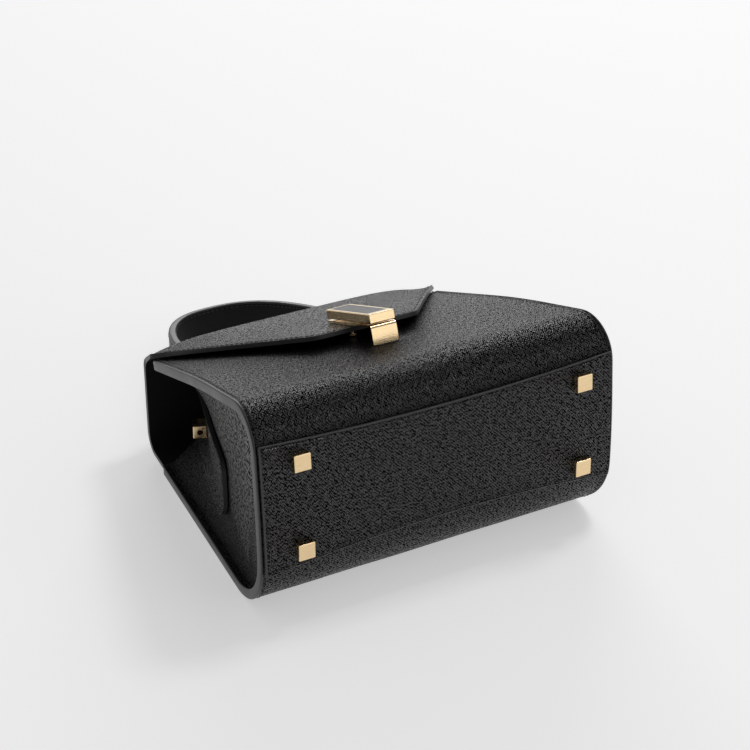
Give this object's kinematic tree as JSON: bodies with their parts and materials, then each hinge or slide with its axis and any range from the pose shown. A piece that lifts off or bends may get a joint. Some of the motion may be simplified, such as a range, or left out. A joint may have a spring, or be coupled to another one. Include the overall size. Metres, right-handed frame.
{
  "type": "handbag",
  "caption": "Small structured top-handle handbag in black embossed leather, with a pointed front flap, a gold turning bar lock, folded ends and an arched handle",
  "frame": {"origin": "middle of the flat stretch of the back panel's outer face, on which the bag lies", "axes": "+X along the bag's length towards its right end as seen from the front, +Y from the base towards the handle, +Z out through the front panel, up as the bag lies"},
  "size_m": [0.2002, 0.2856, 0.1174],
  "materials": {
    "black_leather": "fine cross-hatched grain, semi-gloss",
    "pale_gold": "polished"
  },
  "bodies": {
    "bag": {"body_wrap": "black_leather", "left_gusset": "black_leather", "right_gusset": "black_leather", "left_side_tab": "black_leather", "right_side_tab": "black_leather", "base_panel": "black_leather", "flap": "black_leather", "handle": "black_leather", "foot_1": "pale_gold", "foot_2": "pale_gold", "foot_3": "pale_gold", "foot_4": "pale_gold", "left_lug": "pale_gold", "right_lug": "pale_gold", "lock_plate": "pale_gold", "lock_post": "pale_gold"},
    "lock": {"lock_block": "pale_gold", "lock_inlay": "black_leather"}
  },
  "joints": [
    {"name": "lock_turn", "type": "hinge", "parent": "bag", "child": "lock", "pos_m": [0, -0.00704, 0.10153], "axis": [0, 0.3731, 0.9278], "range_deg": [0, 90]}
  ]
}
